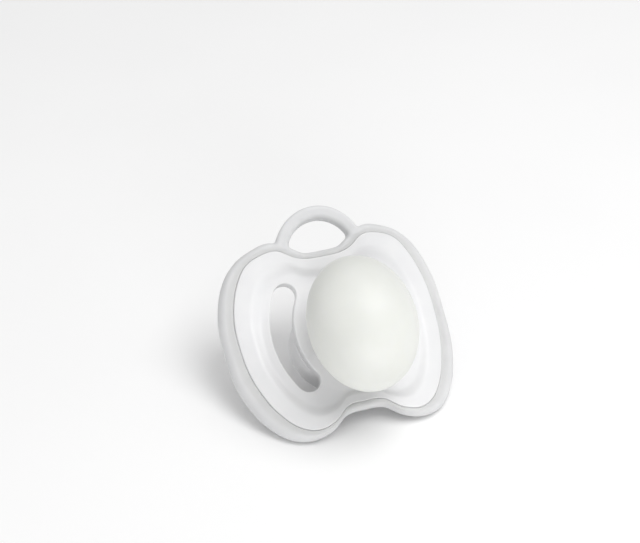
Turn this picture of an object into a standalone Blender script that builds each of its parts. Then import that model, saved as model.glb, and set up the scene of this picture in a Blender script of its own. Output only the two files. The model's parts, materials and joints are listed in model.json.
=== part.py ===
"""Baby's pacifier: a two-lobed hard shield with two vent slots, a soft rim moulded
round it that also makes the carry loop, and a hollow oval teat whose flange is held
from behind by a locking plug and a round snap-on button.

Every dimension is written in millimetres and multiplied by MM.  The shield is built
flat on its own axes, with u across (X), v up the shield (Y) and w out of its front
towards the teat (Z).  At the end the whole assembly is tipped back until the lower
lobes and the button stand on the floor together.  The front faces -Y and +Z is up.
"""

import math

import bmesh
import bpy
from mathutils import Matrix

MM = 0.001
GAP = 0.3 * MM

# Outline of the shield: (angle above the cross axis in degrees, radius of the rim's
# outer edge, width of the rim there).  The other half is its mirror image.
LOBE_OUTLINE = (
    (90, 16.6, 1.7),
    (82, 16.8, 1.7),
    (76, 17.6, 2.0),
    (69, 20.4, 3.3),
    (63, 22.8, 2.7),
    (55, 24.1, 2.3),
    (46, 25.2, 2.3),
    (36, 25.4, 2.8),
    (20, 24.5, 2.9),
    (0, 23.5, 2.8),
    (-22, 24.2, 3.1),
    (-40, 25.2, 3.0),
    (-52, 25.4, 2.5),
    (-61, 24.2, 1.8),
    (-69, 21.8, 1.6),
    (-77, 18.3, 1.6),
    (-90, 17.4, 1.5),
)
STATIONS = 96

# Curve of the shield's front, at this distance from its middle.
CURVE_REACH = 20.0 * MM
SIDE_SWEEP = 3.0 * MM
END_LIFT = 1.8 * MM
FLAT_RADIUS = 10.5 * MM
FLAT_BLEND = 6.0 * MM

# Hard plate.
PLATE_THICK = 2.0 * MM
PLATE_EDGE_ROUND = 0.35 * MM
DISH_DEPTH = 0.8 * MM
DISH_INNER = 0.66
DISH_OUTER = 0.82
TONGUE_SHARE = 0.32
TONGUE_TOP = 0.8 * MM
TONGUE_THICK = 0.6 * MM

# Vent slots: a round-ended stroke along an arc, one on each side of the hub.
SLOT_WIDTH = 4.66 * MM
SLOT_ARC_RADIUS = 18.0 * MM
SLOT_MIDDLE = 11.95 * MM
SLOT_END_HEIGHT = 9.1 * MM

# Soft rim and carry loop.
RIM_STEP = 0.3 * MM
RIM_THICK = 3.4 * MM
RIM_ROUND = 1.1 * MM
LOOP_HALF_WIDTH = 8.2 * MM
LOOP_RISE = 8.05 * MM
LOOP_BASE = 16.1 * MM
LOOP_BAND = 3.0 * MM
LOOP_THICK = 3.0 * MM
LOOP_FOOT_ANGLE = 17.0

# Hub, in the order the parts stack from the front to the back.
HUB_DROP = 1.5 * MM
NECK_RADIUS = 5.3 * MM
TEAT_WALL = 1.4 * MM
FLANGE_OVERLAP = 1.3 * MM
FLANGE_THICK = 1.2 * MM
BOSS_WALL = 1.0 * MM
PLUG_DISC = 1.4 * MM
PLUG_BREATHER = 0.9 * MM
PLUG_REACH = 3.2 * MM
BUTTON_WALL = 1.1 * MM
BUTTON_DEPTH = 10.2 * MM
BUTTON_BACK_WALL = 1.5 * MM
BUTTON_ROUND = 0.8 * MM

# Teat bulb.
BULB_HALF_WIDTH = 10.75 * MM
BULB_HALF_DEPTH = 10.0 * MM
BULB_TALLER = 1.265
BULB_HEIGHT = 13.4 * MM
BULB_DROP = 2.2 * MM
NECK_FILLET = 2.6 * MM
TEAT_STEPS = 48
HUB_STEPS = 56

# Heights that follow from the stack.
HUB_FRONT = -DISH_DEPTH
HUB_BACK = HUB_FRONT - PLATE_THICK
FLANGE_TOP = HUB_BACK - GAP
FLANGE_BOTTOM = FLANGE_TOP - FLANGE_THICK
PLUG_TOP = FLANGE_BOTTOM - GAP
PLUG_BOTTOM = PLUG_TOP - PLUG_DISC
BOSS_BOTTOM = PLUG_BOTTOM - 0.4 * MM
HOLE_RADIUS = NECK_RADIUS + GAP
FLANGE_RADIUS = HOLE_RADIUS + FLANGE_OVERLAP
BOSS_INNER = FLANGE_RADIUS + GAP
BOSS_OUTER = BOSS_INNER + BOSS_WALL
BUTTON_INNER = BOSS_OUTER + GAP
BUTTON_OUTER = BUTTON_INNER + BUTTON_WALL


def clear_scene():
    """Remove whatever the start-up scene holds."""
    for obj in list(bpy.data.objects):
        bpy.data.objects.remove(obj, do_unlink=True)


def new_collection(name, hidden=False):
    """Make a collection; a hidden one is for cutters only."""
    made = bpy.data.collections.new(name)
    made.hide_render = hidden
    bpy.context.scene.collection.children.link(made)
    return made


def material(name, colour, roughness):
    """Make a Principled material of one colour."""
    made = bpy.data.materials.new(name)
    made.use_nodes = True
    shader = made.node_tree.nodes["Principled BSDF"]
    shader.inputs["Base Color"].default_value = (*colour, 1.0)
    shader.inputs["Roughness"].default_value = roughness
    shader.inputs["Metallic"].default_value = 0.0
    made.diffuse_color = (*colour, 1.0)
    return made


def smoothstep(low, high, value):
    """Ease from 0 at low to 1 at high."""
    t = min(1.0, max(0.0, (value - low) / (high - low)))
    return t * t * (3.0 - 2.0 * t)


def outline_value(angle, column):
    """Read the outline table at any angle, by a smooth curve through its rows."""
    rows = LOBE_OUTLINE
    angle = min(90.0, max(-90.0, angle))
    slopes = [0.0]
    for before, after in zip(rows[:-2], rows[2:]):
        slopes.append((after[column] - before[column]) / (after[0] - before[0]))
    slopes.append(0.0)
    for i in range(len(rows) - 1):
        high, low = rows[i], rows[i + 1]
        if angle >= low[0]:
            break
    span = low[0] - high[0]
    t = (angle - high[0]) / span
    value = (2 * t**3 - 3 * t**2 + 1) * high[column]
    value += (t**3 - 2 * t**2 + t) * span * slopes[i]
    value += (3 * t**2 - 2 * t**3) * low[column]
    value += (t**3 - t**2) * span * slopes[i + 1]
    return value * MM


def station_points():
    """Give, for each station, its point on the hub, the plate's edge and the rim's edge."""
    points = []
    for k in range(STATIONS):
        turn = 2.0 * math.pi * k / STATIONS
        across = math.sin(turn)
        up = math.cos(turn)
        angle = math.degrees(math.asin(max(-1.0, min(1.0, up))))
        rim = outline_value(angle, 1)
        plate = rim - outline_value(angle, 2)
        hub = (HOLE_RADIUS * across, HOLE_RADIUS * up - HUB_DROP)
        points.append((hub, (plate * across, plate * up), (rim * across, rim * up)))
    return points


def front_height(u, v):
    """Height of the shield's front: the sides sweep back, the ends lift forward."""
    away = math.hypot(u, v + HUB_DROP)
    curve = END_LIFT * (v / CURVE_REACH) ** 2 - SIDE_SWEEP * (u / CURVE_REACH) ** 2
    return curve * smoothstep(FLAT_RADIUS, FLAT_RADIUS + FLAT_BLEND, away)


def dish_height(share):
    """Depth of the dished middle, by the share of the way from the hub to the edge."""
    return -DISH_DEPTH * (1.0 - smoothstep(DISH_INNER, DISH_OUTER, share))


def finish_mesh(name, builder, into, slot, smooth=True):
    """Turn a bmesh into an object with outward faces."""
    bmesh.ops.recalc_face_normals(builder, faces=builder.faces)
    mesh = bpy.data.meshes.new(name)
    builder.to_mesh(mesh)
    builder.free()
    made = bpy.data.objects.new(name, mesh)
    into.objects.link(made)
    mesh.materials.append(slot)
    if smooth:
        shade(made)
    return made


def shade(obj):
    """Shade a piece smooth, keeping its sharp edges sharp."""
    obj.data.shade_smooth()
    obj.data.set_sharp_from_angle(angle=math.radians(35))


def closed_loft(name, rings, into, slot):
    """Skin a closed tube of rings, the last joined to the first."""
    builder = bmesh.new()
    rows = [[builder.verts.new(point) for point in ring] for ring in rings]
    count = len(rows[0])
    for i, row in enumerate(rows):
        after = rows[(i + 1) % len(rows)]
        for k in range(count):
            m = (k + 1) % count
            builder.faces.new((row[k], row[m], after[m], after[k]))
    return finish_mesh(name, builder, into, slot)


def turned(name, profile, steps, into, slot):
    """Turn a profile of (radius, height) about w with the Screw modifier."""
    builder = bmesh.new()
    verts = [builder.verts.new((r, 0.0, w)) for r, w in profile]
    for a, b in zip(verts[:-1], verts[1:]):
        builder.edges.new((a, b))
    if min(profile[0][0], profile[-1][0]) > 0.0:
        builder.edges.new((verts[-1], verts[0]))
    mesh = bpy.data.meshes.new(name + "_profile")
    builder.to_mesh(mesh)
    builder.free()
    guide = bpy.data.objects.new(name + "_profile", mesh)
    into.objects.link(guide)
    screw = guide.modifiers.new("turn", "SCREW")
    screw.axis = "Z"
    screw.angle = 2.0 * math.pi
    screw.steps = steps
    screw.render_steps = steps
    screw.use_merge_vertices = True
    screw.merge_threshold = 0.00001
    made = as_mesh(guide, name, into)
    made.data.materials.append(slot)
    return made


def as_mesh(source, name, into):
    """Replace an object by the mesh it evaluates to, with its seams joined."""
    bpy.context.view_layer.update()
    graph = bpy.context.evaluated_depsgraph_get()
    mesh = bpy.data.meshes.new_from_object(source.evaluated_get(graph))
    builder = bmesh.new()
    builder.from_mesh(mesh)
    bmesh.ops.remove_doubles(builder, verts=builder.verts, dist=0.000005)
    bmesh.ops.recalc_face_normals(builder, faces=builder.faces)
    builder.to_mesh(mesh)
    builder.free()
    bpy.data.objects.remove(source, do_unlink=True)
    mesh.name = name
    mesh.materials.clear()
    made = bpy.data.objects.new(name, mesh)
    into.objects.link(made)
    return made


def boolean(target, tool, operation):
    """Add an exact Boolean to a piece."""
    made = target.modifiers.new(operation.lower(), "BOOLEAN")
    made.object = tool
    made.operation = operation
    made.solver = "EXACT"
    tool.display_type = "WIRE"
    tool.hide_render = True
    return made


def plate_rings(stations):
    """Rings of the hard plate: front, edge with its tongue, back and hub hole."""
    rows = []
    for share in (0.0, 0.16, 0.34, 0.52, 0.62, 0.68, 0.74, 0.80, 0.86, 0.93):
        rows.append((share, 0.0, 0.0, 0.0))
    rows.append((1.0, -PLATE_EDGE_ROUND, 0.0, 0.0))
    rows.append((1.0, -0.3 * PLATE_EDGE_ROUND, 0.0, -0.3 * PLATE_EDGE_ROUND))
    rows.append((1.0, 0.0, 0.0, -PLATE_EDGE_ROUND))
    rows.append((1.0, 0.0, 0.0, -TONGUE_TOP))
    rows.append((1.0, 0.0, TONGUE_SHARE, -TONGUE_TOP))
    rows.append((1.0, 0.0, TONGUE_SHARE, -TONGUE_TOP - TONGUE_THICK))
    rows.append((1.0, 0.0, 0.0, -TONGUE_TOP - TONGUE_THICK))
    rows.append((1.0, -PLATE_EDGE_ROUND, 0.0, -PLATE_THICK))
    for share in (0.90, 0.82, 0.74, 0.66, 0.50, 0.25, 0.0):
        rows.append((share, 0.0, 0.0, -PLATE_THICK))
    rings = []
    for share, inset, tongue, drop in rows:
        ring = []
        for hub, plate, rim in stations:
            reach = math.hypot(*plate)
            band = math.hypot(*rim) - reach
            out = 1.0 + (inset + tongue * band) / reach
            u = hub[0] + share * (out * plate[0] - hub[0])
            v = hub[1] + share * (out * plate[1] - hub[1])
            ring.append((u, v, front_height(u, v) + dish_height(share) + drop))
        rings.append(ring)
    return rings


def slot_cutter(side, cutters):
    """A round-ended stroke along an arc, standing through the plate."""
    centre = SLOT_MIDDLE - SLOT_ARC_RADIUS
    swing = math.asin(SLOT_END_HEIGHT / SLOT_ARC_RADIUS)
    half = 0.5 * SLOT_WIDTH
    points = []
    for i in range(15):
        a = swing * (i / 7.0 - 1.0)
        radius = SLOT_ARC_RADIUS + half
        points.append((centre + radius * math.cos(a), radius * math.sin(a)))
    for end in (1.0, -1.0):
        tip_u = centre + SLOT_ARC_RADIUS * math.cos(swing)
        tip_v = end * SLOT_END_HEIGHT
        for i in range(1, 8):
            a = end * swing + math.pi * i / 8.0
            if end < 0.0:
                a = math.pi - swing + math.pi * i / 8.0
            points.append((tip_u + half * math.cos(a), tip_v + half * math.sin(a)))
        if end > 0.0:
            radius = SLOT_ARC_RADIUS - half
            for i in range(15):
                a = swing * (1.0 - i / 7.0)
                points.append((centre + radius * math.cos(a), radius * math.sin(a)))
    curve = bpy.data.curves.new("slot", "CURVE")
    curve.dimensions = "2D"
    curve.fill_mode = "BOTH"
    curve.extrude = 6.0 * MM
    spline = curve.splines.new("POLY")
    spline.points.add(len(points) - 1)
    for point, (u, v) in zip(spline.points, points):
        point.co = (side * u, v, 0.0, 1.0)
    spline.use_cyclic_u = True
    guide = bpy.data.objects.new("slot", curve)
    cutters.objects.link(guide)
    return as_mesh(guide, "slot_cutter", cutters)


def build_plate(stations, into, cutters, slot):
    """Hard shield with a boss behind its hub and two vent slots."""
    plate = closed_loft("shield_plate", plate_rings(stations), into, slot)
    profile = (
        (BOSS_INNER, HUB_BACK + 0.6 * MM),
        (BOSS_OUTER, HUB_BACK + 0.6 * MM),
        (BOSS_OUTER, BOSS_BOTTOM),
        (BOSS_INNER, BOSS_BOTTOM),
    )
    boss = turned("boss", profile, HUB_STEPS, cutters, slot)
    move(boss, 0.0, -HUB_DROP)
    boolean(plate, boss, "UNION")
    for side in (-1.0, 1.0):
        boolean(plate, slot_cutter(side, cutters), "DIFFERENCE")
    return plate


def move(obj, u, v):
    """Shift a mesh in the plane of the shield."""
    obj.data.transform(Matrix.Translation((u, v, 0.0)))


def rim_rings(stations):
    """Rings of the soft rim: front face, rounded outside, back, and the tongue groove."""
    groove_top = -TONGUE_TOP + GAP
    groove_low = -TONGUE_TOP - TONGUE_THICK - GAP
    rows = [("in", 0.0, -RIM_STEP), ("mix", 0.45, -RIM_STEP)]
    for i in range(9):
        a = math.radians(90.0 - 22.5 * i)
        inset = RIM_ROUND * (1.0 - math.cos(a))
        height = -RIM_STEP - 0.5 * RIM_THICK * (1.0 - math.sin(a))
        rows.append(("out", inset, height))
    rows.append(("in", 0.0, -RIM_STEP - RIM_THICK))
    rows.append(("in", 0.0, groove_low))
    rows.append(("groove", 0.0, groove_low))
    rows.append(("groove", 0.0, groove_top))
    rows.append(("in", 0.0, groove_top))
    rings = []
    for kind, amount, height in rows:
        ring = []
        for _hub, plate, rim in stations:
            inner = math.hypot(*plate)
            outer = math.hypot(*rim)
            start = inner + GAP
            reach = {
                "in": start,
                "mix": start + amount * (outer - RIM_ROUND - start),
                "out": outer - amount,
                "groove": start + TONGUE_SHARE * (outer - inner),
            }[kind]
            u = rim[0] * reach / outer
            v = rim[1] * reach / outer
            ring.append((u, v, front_height(u, v) + height))
        rings.append(ring)
    return rings


def build_rim(stations, into, cutters, slot):
    """Soft rim with the carry loop, one moulding."""
    rim = closed_loft("soft_rim", rim_rings(stations), into, slot)
    curve = bpy.data.curves.new("loop", "CURVE")
    curve.dimensions = "3D"
    curve.fill_mode = "FULL"
    curve.bevel_depth = 0.5 * LOOP_BAND
    curve.bevel_resolution = 3
    curve.use_fill_caps = True
    steps = 28
    spline = curve.splines.new("POLY")
    spline.points.add(steps)
    for i, point in enumerate(spline.points):
        a = math.radians(LOOP_FOOT_ANGLE + (180.0 - 2.0 * LOOP_FOOT_ANGLE) * i / steps)
        u = LOOP_HALF_WIDTH * math.cos(a)
        v = LOOP_BASE + LOOP_RISE * math.sin(a)
        point.co = (u, v, 0.0, 1.0)
    guide = bpy.data.objects.new("loop", curve)
    cutters.objects.link(guide)
    loop = as_mesh(guide, "loop_tool", cutters)
    for vert in loop.data.vertices:
        height = vert.co.z * LOOP_THICK / LOOP_BAND - RIM_STEP - 0.5 * LOOP_THICK
        vert.co.z = height + front_height(vert.co.x, vert.co.y)
    boolean(rim, loop, "UNION")
    return rim


def bulb_profile(wall):
    """Side of the teat from its tip down to the neck, set in by the wall thickness."""
    points = []
    half_width = BULB_HALF_WIDTH - wall
    half_depth = BULB_HALF_DEPTH - wall
    neck = NECK_RADIUS - wall
    lowest = -math.acos((neck + 0.25 * NECK_FILLET) / half_width)
    rings = 15
    for i in range(rings + 1):
        a = 0.5 * math.pi + (lowest - 0.5 * math.pi) * i / rings
        points.append((half_width * math.cos(a), BULB_HEIGHT + half_depth * math.sin(a)))
    foot = points[-1][1]
    points[0] = (0.0, points[0][1])
    points.append((neck, foot - 0.6 * NECK_FILLET))
    return points


def oval(obj):
    """Make the bulb taller than it is wide, and hang it a little below the neck."""
    low = max(HUB_FRONT, PLUG_TOP + PLUG_REACH)
    high = BULB_HEIGHT - 0.3 * BULB_HALF_DEPTH
    for vert in obj.data.vertices:
        share = smoothstep(low, high, vert.co.z)
        taller = 1.0 + (BULB_TALLER - 1.0) * share
        vert.co.y = vert.co.y * taller - BULB_DROP * share


def build_teat(into, slot):
    """Hollow teat with a flange, open at its base."""
    profile = list(bulb_profile(0.0))
    profile.append((NECK_RADIUS, 0.5 * (HUB_FRONT + profile[-1][1])))
    profile.append((NECK_RADIUS, HUB_FRONT))
    profile.append((NECK_RADIUS, FLANGE_TOP))
    profile.append((FLANGE_RADIUS, FLANGE_TOP))
    profile.append((FLANGE_RADIUS, FLANGE_BOTTOM))
    inner = bulb_profile(TEAT_WALL)
    bore = NECK_RADIUS - TEAT_WALL
    profile.append((bore, FLANGE_BOTTOM))
    profile.append((bore, HUB_FRONT))
    profile.append((bore, 0.5 * (HUB_FRONT + inner[-1][1])))
    profile.extend(reversed(inner))
    teat = turned("teat", profile, TEAT_STEPS, into, slot)
    oval(teat)
    move(teat, 0.0, -HUB_DROP)
    shade(teat)
    return teat


def build_plug(into, slot):
    """Locking plug: a disc under the flange and a hollow spigot up the neck."""
    spigot = NECK_RADIUS - TEAT_WALL - GAP
    profile = (
        (PLUG_BREATHER, PLUG_TOP + PLUG_REACH),
        (spigot, PLUG_TOP + PLUG_REACH),
        (spigot, PLUG_TOP),
        (FLANGE_RADIUS, PLUG_TOP),
        (FLANGE_RADIUS, PLUG_BOTTOM),
        (PLUG_BREATHER, PLUG_BOTTOM),
    )
    plug = turned("locking_plug", profile, HUB_STEPS, into, slot)
    move(plug, 0.0, -HUB_DROP)
    shade(plug)
    return plug


def build_button(into, slot):
    """Round back button: a cup over the boss, with a flat back."""
    inside = min(BOSS_BOTTOM - GAP, BUTTON_BACK_WALL - BUTTON_DEPTH)
    profile = [
        (0.0, inside),
        (BUTTON_INNER, inside),
        (BUTTON_INNER, HUB_BACK - GAP),
        (BUTTON_OUTER, HUB_BACK - GAP),
    ]
    for i in range(5):
        a = math.radians(22.5 * i)
        radius = BUTTON_OUTER - BUTTON_ROUND * (1.0 - math.cos(a))
        profile.append((radius, -BUTTON_DEPTH + BUTTON_ROUND * (1.0 - math.sin(a))))
    profile.append((0.0, -BUTTON_DEPTH))
    button = turned("back_button", profile, HUB_STEPS, into, slot)
    move(button, 0.0, -HUB_DROP)
    shade(button)
    return button


def lowest_point(points, tip):
    """Lowest height of these points once tipped back by an angle."""
    return min(v * math.sin(tip) + w * math.cos(tip) for v, w in points)


def side_points(obj):
    """(v, w) of each point of a piece as it evaluates."""
    graph = bpy.context.evaluated_depsgraph_get()
    shape = obj.evaluated_get(graph)
    return [(vert.co.y, vert.co.z) for vert in shape.data.vertices]


def stand_up(pieces, rim, button):
    """Tip the assembly until lobes and button share the floor, and centre it there."""
    bpy.context.view_layer.update()
    lobes = [p for p in side_points(rim) if p[0] < 0.0]
    heel = side_points(button)
    low, high = 0.0, math.radians(85.0)
    for _ in range(60):
        tip = 0.5 * (low + high)
        if lowest_point(lobes, tip) > lowest_point(heel, tip):
            low = tip
        else:
            high = tip
    everything = [point for piece in pieces for point in side_points(piece)]
    floor = lowest_point(everything, tip)
    depths = [v * math.cos(tip) - w * math.sin(tip) for v, w in everything]
    stand = bpy.data.objects.new("stand", None)
    pieces[0].users_collection[0].objects.link(stand)
    stand.rotation_euler = (tip, 0.0, 0.0)
    stand.location = (0.0, -0.5 * (min(depths) + max(depths)), -floor)
    for obj in bpy.data.objects:
        if obj.type == "MESH":
            obj.parent = stand
    print("leans back", round(90.0 - math.degrees(tip), 2), "degrees from upright")


def main():
    """Build the pacifier."""
    clear_scene()
    parts = new_collection("pacifier")
    cutters = new_collection("pacifier_cutters", hidden=True)
    hard = material("shield_white", (0.86, 0.86, 0.87), 0.32)
    soft = material("rim_silicone", (0.62, 0.63, 0.65), 0.42)
    clear = material("teat_silicone", (0.80, 0.82, 0.73), 0.38)
    lock = material("plug_white", (0.84, 0.84, 0.85), 0.36)
    snap = material("button_white", (0.85, 0.85, 0.86), 0.30)
    stations = station_points()
    plate = build_plate(stations, parts, cutters, hard)
    rim = build_rim(stations, parts, cutters, soft)
    teat = build_teat(parts, clear)
    plug = build_plug(parts, lock)
    button = build_button(parts, snap)
    stand_up([plate, rim, teat, plug, button], rim, button)


main()
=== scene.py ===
"""Looks of a baby's pacifier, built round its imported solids.

Each sub-assembly is a class.  It holds its sizes in metres, builds its mesh on the shield's
own axes and dresses it in a finish.  Those axes are u across the shield, v up it and w out of
its front towards the teat.  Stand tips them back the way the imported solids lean.
"""

from __future__ import annotations

import json
import logging
import math
from dataclasses import dataclass, field
from enum import Enum
from typing import Callable, Sequence

import bmesh
import bpy
import numpy as np
from mathutils import Matrix, Vector
from mathutils.bvhtree import BVHTree
from mathutils.geometry import delaunay_2d_cdt

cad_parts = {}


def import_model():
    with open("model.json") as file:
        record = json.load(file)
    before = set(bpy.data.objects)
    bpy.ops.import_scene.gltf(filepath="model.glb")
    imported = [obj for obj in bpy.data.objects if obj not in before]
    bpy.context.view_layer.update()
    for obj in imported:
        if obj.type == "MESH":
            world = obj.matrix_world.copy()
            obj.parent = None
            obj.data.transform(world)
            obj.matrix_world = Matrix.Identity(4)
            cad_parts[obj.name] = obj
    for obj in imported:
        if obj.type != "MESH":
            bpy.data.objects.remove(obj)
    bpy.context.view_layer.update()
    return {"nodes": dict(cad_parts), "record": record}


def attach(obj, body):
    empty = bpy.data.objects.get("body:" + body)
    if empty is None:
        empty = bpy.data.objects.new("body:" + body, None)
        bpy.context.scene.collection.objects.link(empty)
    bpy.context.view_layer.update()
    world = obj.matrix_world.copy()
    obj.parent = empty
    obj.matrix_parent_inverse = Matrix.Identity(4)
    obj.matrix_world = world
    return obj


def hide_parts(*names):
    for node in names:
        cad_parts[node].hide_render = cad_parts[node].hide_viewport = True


LOG = logging.getLogger("pacifier")
MM = 0.001
BODY = "root"
MERGE = 0.0005 * MM
NOTHING = 1e-6

Colour = tuple[float, float, float]
Pair = tuple[float, float]
Triple = tuple[float, float, float]

# Outline of the shield: (angle above the cross axis in degrees, radius of the rim's outer
# edge, width of the rim there), in millimetres.  The other half is its mirror image.
LOBE_OUTLINE: tuple[Triple, ...] = (
    (90, 16.6, 1.7),
    (82, 16.8, 1.7),
    (76, 17.6, 2.0),
    (69, 20.4, 3.3),
    (63, 22.8, 2.7),
    (55, 24.1, 2.3),
    (46, 25.2, 2.3),
    (36, 25.4, 2.8),
    (20, 24.5, 2.9),
    (0, 23.5, 2.8),
    (-22, 24.2, 3.1),
    (-40, 25.2, 3.0),
    (-52, 25.4, 2.5),
    (-61, 24.2, 1.8),
    (-69, 21.8, 1.6),
    (-77, 18.3, 1.6),
    (-90, 17.4, 1.5),
)


def smoothstep(low: float, high: float, value: np.ndarray) -> np.ndarray:
    """Ease from 0 at low to 1 at high."""
    share = np.clip((value - low) / (high - low), 0.0, 1.0)
    return share * share * (3.0 - 2.0 * share)


def hermite(t: np.ndarray) -> tuple[np.ndarray, ...]:
    """Give the weights of two ends, then of their slopes, at t along a smooth curve."""
    return 2 * t**3 - 3 * t**2 + 1, 3 * t**2 - 2 * t**3, t**3 - 2 * t**2 + t, t**3 - t**2


def full_turn(count: int) -> np.ndarray:
    """Give angles spread evenly round a full turn."""
    return np.linspace(0.0, 2.0 * math.pi, count, endpoint=False)


def clockwise(reach: np.ndarray | float, turn: np.ndarray) -> np.ndarray:
    """Give flat points (u, v) at a reach, and at a turn clockwise from the top."""
    return np.stack([reach * np.sin(turn), reach * np.cos(turn)], 1)


def rounding(size: float, degrees: Sequence[float] | np.ndarray) -> list[Pair]:
    """Give how far a round edge of this size stands in from each of its two sides."""
    return [(size * (1.0 - math.sin(a)), size * (1.0 - math.cos(a))) for a in np.radians(degrees)]


# --------------------------------------------------------------------------------------
# Where things are
# --------------------------------------------------------------------------------------


@dataclass(frozen=True)
class HubSizes:
    """Sizes of the stack behind the teat, which the plate, teat and button share."""

    drop: float = 1.5 * MM
    gap: float = 0.3 * MM
    neck_radius: float = 5.3 * MM
    teat_wall: float = 1.4 * MM
    flange_overlap: float = 1.3 * MM
    flange_thick: float = 1.2 * MM
    dish_depth: float = 0.8 * MM
    plate_thick: float = 2.0 * MM
    boss_wall: float = 1.0 * MM
    boss_reach: float = 0.4 * MM
    plug_disc: float = 1.4 * MM
    plug_reach: float = 3.2 * MM
    button_wall: float = 1.1 * MM
    button_depth: float = 10.2 * MM
    button_back: float = 1.5 * MM

    @property
    def front(self) -> float:
        """Height of the dished front of the plate round the neck."""
        return -self.dish_depth

    @property
    def back(self) -> float:
        """Height of the plate's back round the neck."""
        return self.front - self.plate_thick

    @property
    def flange_top(self) -> float:
        """Height of the front of the teat's flange."""
        return self.back - self.gap

    @property
    def flange_low(self) -> float:
        """Height of the back of the teat's flange."""
        return self.flange_top - self.flange_thick

    @property
    def plug_top(self) -> float:
        """Height of the front of the locking plug's disc."""
        return self.flange_low - self.gap

    @property
    def boss_low(self) -> float:
        """Height of the free edge of the boss."""
        return self.plug_top - self.plug_disc - self.boss_reach

    @property
    def hole_radius(self) -> float:
        """Radius of the hole in the plate."""
        return self.neck_radius + self.gap

    @property
    def flange_radius(self) -> float:
        """Radius of the teat's flange."""
        return self.hole_radius + self.flange_overlap

    @property
    def boss_radii(self) -> Pair:
        """Inner and outer radius of the boss."""
        inner = self.flange_radius + self.gap
        return inner, inner + self.boss_wall

    @property
    def button_radii(self) -> Pair:
        """Inner and outer radius of the back button."""
        inner = self.boss_radii[1] + self.gap
        return inner, inner + self.button_wall


@dataclass(frozen=True)
class Stand:
    """How the shield's own axes sit in the frame."""

    tip: float
    origin: Vector

    @classmethod
    def from_record(cls, record: dict, hub: HubSizes) -> Stand:
        """Find the tip and place of the shield from the back face that the record gives.

        Args:
            record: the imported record.
            hub: sizes of the stack, which say where that face is on the shield's axes.

        Returns:
            The stand.
        """
        mount = next(m for m in record["mounts"] if m["name"] == "back_button_face")
        axis = Vector(mount["axis"])
        tip = math.atan2(axis.y, -axis.z)
        on_shield = Vector((0.0, -hub.drop, -hub.button_depth))
        origin = Vector(mount["pos_m"]) - Matrix.Rotation(tip, 3, "X") @ on_shield
        return cls(tip, origin)

    def matrix(self) -> Matrix:
        """Give the matrix from the shield's axes to the frame."""
        return Matrix.Translation(self.origin) @ Matrix.Rotation(self.tip, 4, "X")


@dataclass(frozen=True)
class ShieldForm:
    """The surface that the plate and the rim follow.

    Lengths are in metres on the shield's own axes, and turn is an angle in radians from
    the top of the shield, clockwise from the front.
    """

    outline: tuple[Triple, ...] = LOBE_OUTLINE
    reach: float = 20.0 * MM
    side_sweep: float = 3.0 * MM
    end_lift: float = 1.8 * MM
    flat_radius: float = 10.5 * MM
    flat_blend: float = 6.0 * MM
    dish_inner: float = 0.66
    dish_outer: float = 0.82
    share_rounds: int = 12
    hub: HubSizes = field(default_factory=HubSizes)

    def _read(self, turn: np.ndarray, column: int) -> np.ndarray:
        """Read one column of the outline by a smooth curve through its rows.

        Args:
            turn: the turns to read at.
            column: which column of the rows to read.

        Returns:
            The column's value at each turn, in metres.
        """
        rows = np.array(self.outline[::-1], float)
        x, y = rows[:, 0], rows[:, column]
        slope = np.zeros(len(x))
        slope[1:-1] = (y[2:] - y[:-2]) / (x[2:] - x[:-2])
        angle = np.degrees(np.arcsin(np.clip(np.cos(turn), -1.0, 1.0)))
        i = np.clip(np.searchsorted(x, angle, side="right") - 1, 0, len(x) - 2)
        span = x[i + 1] - x[i]
        start, end, rise, fall = hermite((angle - x[i]) / span)
        value = start * y[i] + end * y[i + 1] + span * (rise * slope[i] + fall * slope[i + 1])
        return value * MM

    def rim_radius(self, turn: np.ndarray) -> np.ndarray:
        """Give the radius of the rim's outer edge."""
        return self._read(turn, 1)

    def plate_radius(self, turn: np.ndarray) -> np.ndarray:
        """Give the radius of the plate's edge."""
        return self._read(turn, 1) - self._read(turn, 2)

    def curve(self, u: np.ndarray, v: np.ndarray) -> np.ndarray:
        """Give the height of the bent shield, whose sides sweep back and ends lift.

        Args:
            u: places across the shield.
            v: places up it.

        Returns:
            The height there, which is 0 near the hub.
        """
        away = np.hypot(u, v + self.hub.drop)
        bend = self.end_lift * (v / self.reach) ** 2 - self.side_sweep * (u / self.reach) ** 2
        return bend * smoothstep(self.flat_radius, self.flat_radius + self.flat_blend, away)

    def share(self, u: np.ndarray, v: np.ndarray) -> np.ndarray:
        """Give the share of the way from the hub's hole to the plate's edge.

        Args:
            u: places across the shield.
            v: places up it.

        Returns:
            0 at the hole, 1 at the edge.
        """
        found = np.full(np.shape(u), 0.5)
        for _ in range(self.share_rounds):
            up = v + self.hub.drop * (1.0 - found)
            edge = self.plate_radius(np.arctan2(u, up))
            found = (np.hypot(u, up) - self.hub.hole_radius) / (edge - self.hub.hole_radius)
        return found

    def front(self, u: np.ndarray, v: np.ndarray) -> np.ndarray:
        """Give the height of the plate's front, with its dished middle."""
        dish = 1.0 - smoothstep(self.dish_inner, self.dish_outer, self.share(u, v))
        return self.curve(u, v) - self.hub.dish_depth * dish


# --------------------------------------------------------------------------------------
# Finishes
# --------------------------------------------------------------------------------------


class Grain(Enum):
    """What the mould left on a surface: (size of a grain, height of its bump)."""

    SPARK = (0.16 * MM, 0.0045 * MM)
    SATIN = (0.30 * MM, 0.0035 * MM)
    POLISHED = (2.2 * MM, 0.0060 * MM)


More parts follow.
